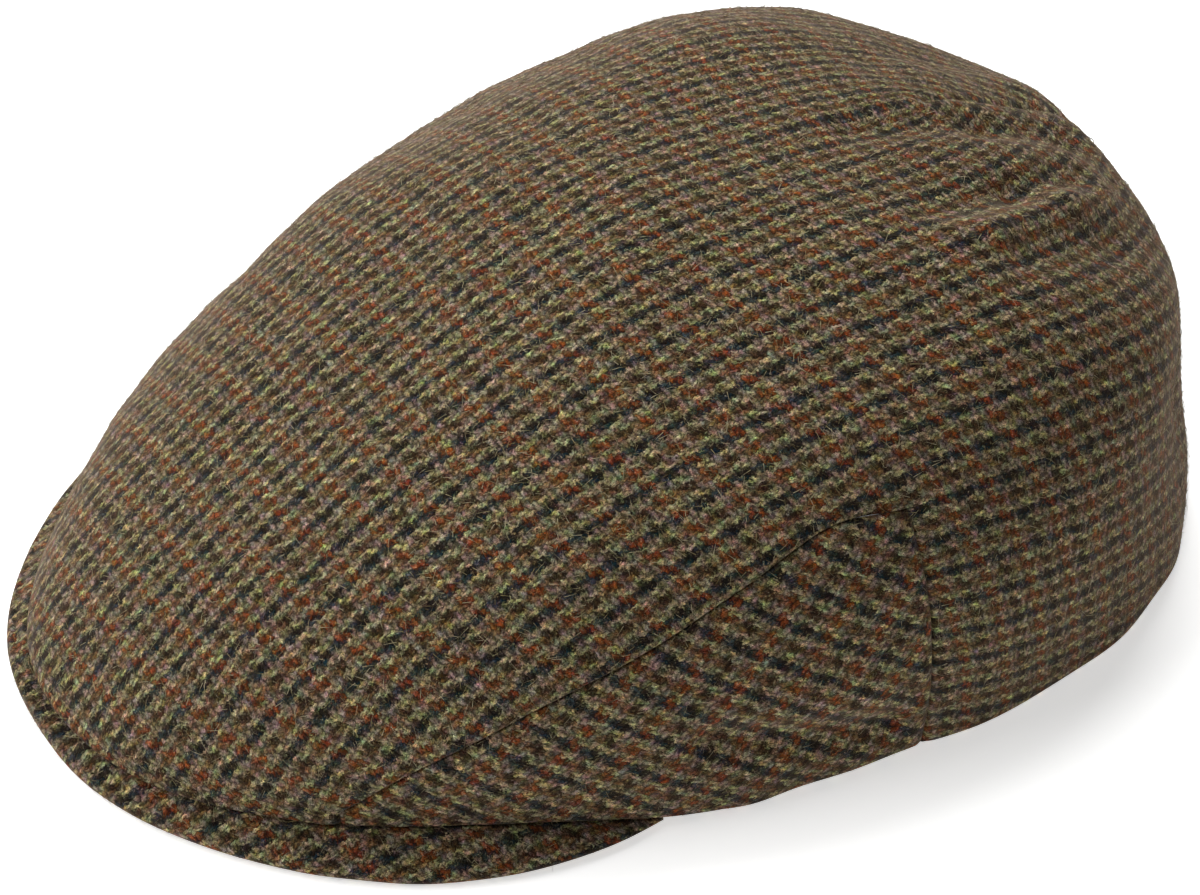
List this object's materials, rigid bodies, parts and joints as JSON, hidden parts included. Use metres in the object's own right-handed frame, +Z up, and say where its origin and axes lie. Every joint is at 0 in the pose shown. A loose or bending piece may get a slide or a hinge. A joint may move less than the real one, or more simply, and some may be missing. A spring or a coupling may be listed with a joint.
{
  "type": "flat cap",
  "caption": "Soft woollen flat cap: rounded crown sewn down on a short stiff peak, a side panel on each side, open underneath for the head.",
  "frame": {"origin": "on the surface that the cap rests on, below the middle of its box", "axes": "+Z up; -Y ahead, to the peak; +X to the wearer's left"},
  "size_m": [0.2032, 0.2806, 0.0985],
  "materials": {
    "crown_tweed": "fuzzy twill-woven wool in a small check",
    "side_panel_tweed": "fuzzy twill-woven wool in a small check",
    "peak_tweed": "fuzzy twill-woven wool in a small check, over a stiff board"
  },
  "bodies": {
    "root": {"crown": "crown_tweed", "side_panel_left": "side_panel_tweed", "side_panel_right": "side_panel_tweed", "peak": "peak_tweed"}
  },
  "joints": []
}
